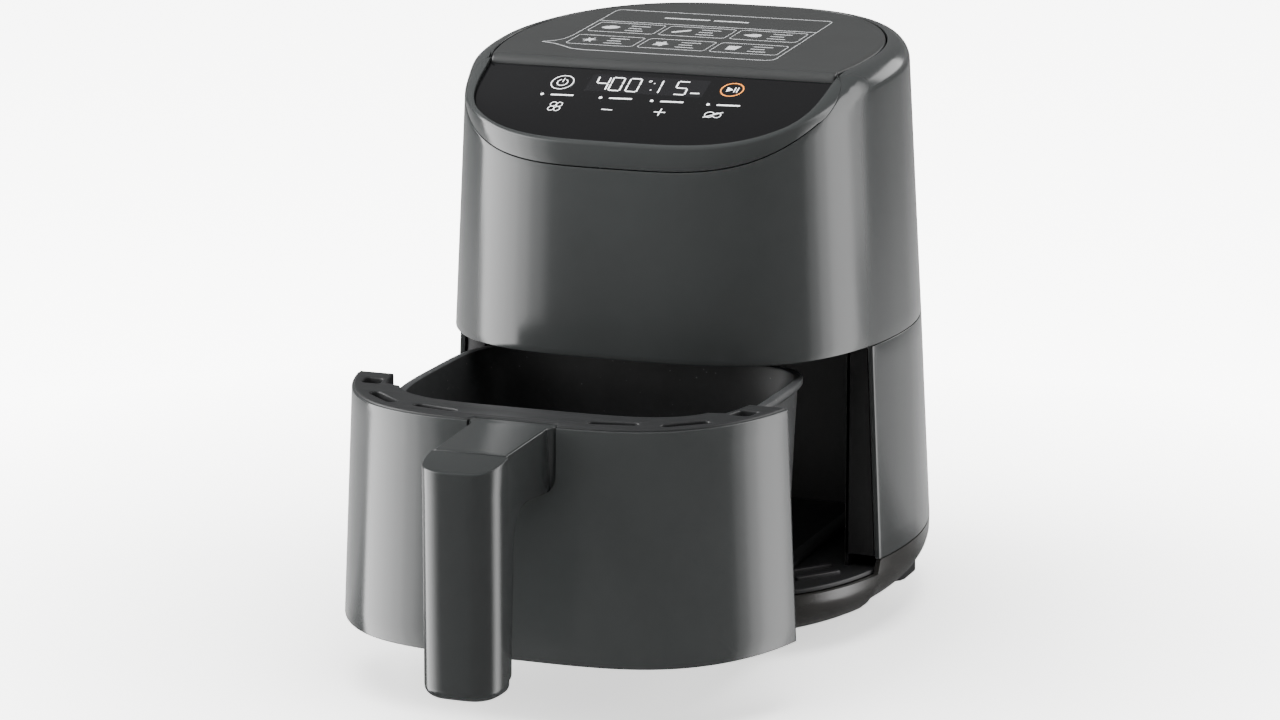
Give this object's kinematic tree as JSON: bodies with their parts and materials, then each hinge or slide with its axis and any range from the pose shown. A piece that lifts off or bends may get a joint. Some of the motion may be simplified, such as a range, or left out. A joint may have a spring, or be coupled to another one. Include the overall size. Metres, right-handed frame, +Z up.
{
  "type": "air fryer",
  "caption": "Compact drawer air fryer: rounded tapering housing with a sloped touch panel, and a pull-out basket drawer with an upright handle.",
  "frame": {"origin": "on the surface the feet stand on, under the middle of the whole object with its drawer as stored", "axes": "+Z up, -Y towards the drawer's handle, +X to the right of someone facing the drawer's side away from it"},
  "size_m": [0.2086, 0.3934, 0.2556],
  "materials": {
    "charcoal_plastic": "satin-gloss moulded charcoal",
    "cover_plastic": "satin mid grey",
    "panel_glass": "gloss black touch panel",
    "black_plastic": "matte black heat-resistant plastic",
    "base_plastic": "satin warm grey",
    "foot_rubber": "matte black rubber",
    "steel": "plated sheet and bar",
    "fan_sheet": "mill aluminium sheet",
    "element_sheath": "dark heat-tinted sheath",
    "coil_copper": "enamelled copper winding",
    "board": "green circuit board",
    "nonstick": "dark speckled nonstick coat on aluminium",
    "silicone": "dark silicone"
  },
  "bodies": {
    "housing": {"upper_housing": "charcoal_plastic", "collar_trim": "charcoal_plastic", "lower_shell": "charcoal_plastic", "top_cover": "cover_plastic", "control_glass": "panel_glass", "panel_frame": "black_plastic", "display_module": "black_plastic", "cavity_liner": "black_plastic", "runner_left": "black_plastic", "runner_right": "black_plastic", "chamber_plate": "black_plastic", "exhaust_duct": "black_plastic", "rear_vent_grille": "black_plastic", "thermal_cutout": "black_plastic", "microswitch": "black_plastic", "base_pan": "base_plastic", "foot_0": "foot_rubber", "foot_1": "foot_rubber", "foot_2": "foot_rubber", "foot_3": "foot_rubber", "cord_gland": "foot_rubber", "base_screw_0": "steel", "base_screw_1": "steel", "base_screw_2": "steel", "base_screw_3": "steel", "element_guard": "steel", "heat_shield": "steel", "motor_bracket": "steel", "motor_stator": "steel", "temperature_sensor": "steel", "air_chamber": "fan_sheet", "heating_element": "element_sheath", "motor_coil": "coil_copper", "panel_board": "board", "power_board": "board"},
    "drawer": {"drawer_front": "charcoal_plastic", "rim_cap": "black_plastic", "basket": "nonstick", "handle_bracket": "steel", "handle_arm": "charcoal_plastic", "grip_front": "charcoal_plastic", "handle_screw_0": "steel", "handle_screw_1": "steel"},
    "plate": {"crisper_plate": "nonstick", "plate_bumper_0": "silicone", "plate_bumper_1": "silicone", "plate_bumper_2": "silicone", "plate_bumper_3": "silicone"},
    "fan": {"hot_fan": "fan_sheet", "fan_shaft": "steel", "motor_rotor": "steel", "cooling_fan": "black_plastic"},
    "plunger": {"switch_plunger": "silicone"}
  },
  "joints": [
    {"name": "drawer_slide", "type": "slide", "parent": "housing", "child": "drawer", "axis": [0, -1, 0], "range_m": [-0.111, 0.14]},
    {"name": "plate_lift", "type": "slide", "parent": "drawer", "child": "plate", "axis": [0, 0, 1], "range_m": [0, 0.06]},
    {"name": "fan_spin", "type": "hinge", "parent": "housing", "child": "fan", "pos_m": [0, 0.07028, 0.16], "axis": [0, 0, 1], "continuous": true},
    {"name": "plunger_travel", "type": "slide", "parent": "housing", "child": "plunger", "axis": [0, 1, 0], "range_m": [0, 0.0025], "stiffness_N_per_m": 150}
  ]
}
